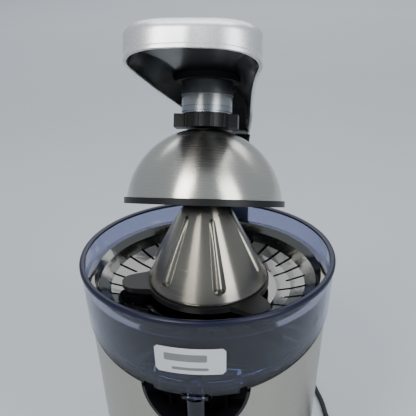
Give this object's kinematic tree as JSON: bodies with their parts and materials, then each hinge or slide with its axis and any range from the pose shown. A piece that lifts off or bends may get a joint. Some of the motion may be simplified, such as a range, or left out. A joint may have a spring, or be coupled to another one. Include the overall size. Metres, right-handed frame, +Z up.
{
  "type": "citrus press juicer",
  "caption": "Electric citrus press: a ribbed reaming cone in a juice bowl over a drum-shaped motor housing, with a hinged lever arm and press dome.",
  "frame": {"origin": "centre of the rubber ring foot's underside, on the cone's axis", "axes": "+Z up along the cone's axis, -Y towards the spout at the front, +Y towards the hinge column and the cord"},
  "size_m": [0.2704, 0.3038, 0.4019],
  "materials": {
    "brushed_metal": "brushed",
    "silver_paint": "satin",
    "polished_steel": "polished",
    "black_plastic": "matte",
    "black_gloss": "gloss",
    "clear_bowl": "clear plastic",
    "grey_plastic": "matte",
    "white_plastic": "matte",
    "rubber": "matte",
    "bronze": "sintered",
    "copper": "enamelled wire",
    "laminated_iron": "stacked sheet",
    "plated_steel": "zinc plated"
  },
  "bodies": {
    "housing": {"rubber_feet": "rubber", "base_plate": "black_plastic", "base_screws": "plated_steel", "drum_shell": "brushed_metal", "niche_panel": "black_gloss", "drum_gasket": "rubber", "top_deck": "black_plastic", "juice_bowl": "clear_bowl", "strainer": "polished_steel", "spindle_bushes": "bronze", "shaft_seal": "rubber", "gear_plate": "plated_steel", "gear_cover": "grey_plastic", "idler_axle": "plated_steel", "motor_can": "plated_steel", "motor_bushes": "bronze", "stator": "laminated_iron", "stator_windings": "copper", "switch_bracket": "plated_steel", "micro_switch": "black_plastic", "column_shell": "silver_paint", "column_core": "black_plastic", "column_lid": "black_plastic", "hinge_pin": "plated_steel", "strain_relief": "rubber", "power_cord": "rubber", "cord_coil": "rubber", "plug": "rubber", "plug_pins": "plated_steel"},
    "arm": {"arm_shell": "silver_paint", "arm_liner": "black_gloss", "neck_cover": "black_plastic", "arm_frame": "plated_steel", "hinge_bushes": "bronze", "press_flange": "black_plastic", "press_shaft": "polished_steel", "shaft_bolt": "plated_steel", "shaft_band": "polished_steel"},
    "dome": {"lock_collar": "black_plastic", "dome_shell": "brushed_metal", "dome_rim": "black_plastic", "dome_liner": "black_plastic"},
    "press_carrier": {"thrust_cup": "white_plastic", "return_spring": "plated_steel"},
    "cone_drive": {"spindle": "plated_steel", "cone_hub": "black_plastic", "cone_base": "black_plastic", "cone_shell": "polished_steel"},
    "output_gear": {"output_gear": "white_plastic"},
    "idler_gear": {"idler_gear": "white_plastic"},
    "motor_armature": {"rotor": "laminated_iron", "motor_fan": "black_plastic", "motor_pinion": "plated_steel"},
    "switch_plunger": {"switch_plunger": "white_plastic"},
    "spout": {"spout_nozzle": "clear_bowl"}
  },
  "joints": [
    {"name": "arm_lift", "type": "hinge", "parent": "housing", "child": "arm", "pos_m": [0, 0.106, 0.27355], "axis": [-1, 0, 0], "range_deg": [-21.3, 38]},
    {"name": "collar_twist", "type": "hinge", "parent": "arm", "child": "dome", "pos_m": [0, -0.0097, 0.27369], "axis": [0, 0.402, 0.9157], "range_deg": [0, 40]},
    {"name": "press_travel", "type": "slide", "parent": "housing", "child": "press_carrier", "axis": [0, 0, 1], "range_m": [-0.0025, 0], "stiffness_N_per_m": 2500, "springref_m": 0.004, "deforming": ["return_spring"]},
    {"name": "cone_spin", "type": "hinge", "parent": "press_carrier", "child": "cone_drive", "pos_m": [0, 0, 0.2], "axis": [0, 0, 1], "continuous": true},
    {"name": "output_gear_spin", "type": "hinge", "parent": "housing", "child": "output_gear", "pos_m": [0, 0, 0.12], "axis": [0, 0, 1], "continuous": true},
    {"name": "idler_spin", "type": "hinge", "parent": "housing", "child": "idler_gear", "pos_m": [0, 0.045, 0.12], "axis": [0, 0, 1], "continuous": true},
    {"name": "motor_spin", "type": "hinge", "parent": "housing", "child": "motor_armature", "pos_m": [0.02489, 0.03749, 0.08], "axis": [0, 0, 1], "continuous": true},
    {"name": "plunger_travel", "type": "slide", "parent": "housing", "child": "switch_plunger", "axis": [0, 0, 1], "range_m": [-0.0025, 0]},
    {"name": "drip_stop", "type": "slide", "parent": "housing", "child": "spout", "axis": [0, 0, 1], "range_m": [-0.005, 0]}
  ],
  "couplings": [
    {"joint": "output_gear_spin", "follows": "cone_spin", "ratio": 1},
    {"joint": "idler_spin", "follows": "cone_spin", "ratio": -4},
    {"joint": "motor_spin", "follows": "cone_spin", "ratio": 13.333},
    {"joint": "plunger_travel", "follows": "press_travel", "ratio": 1}
  ]
}
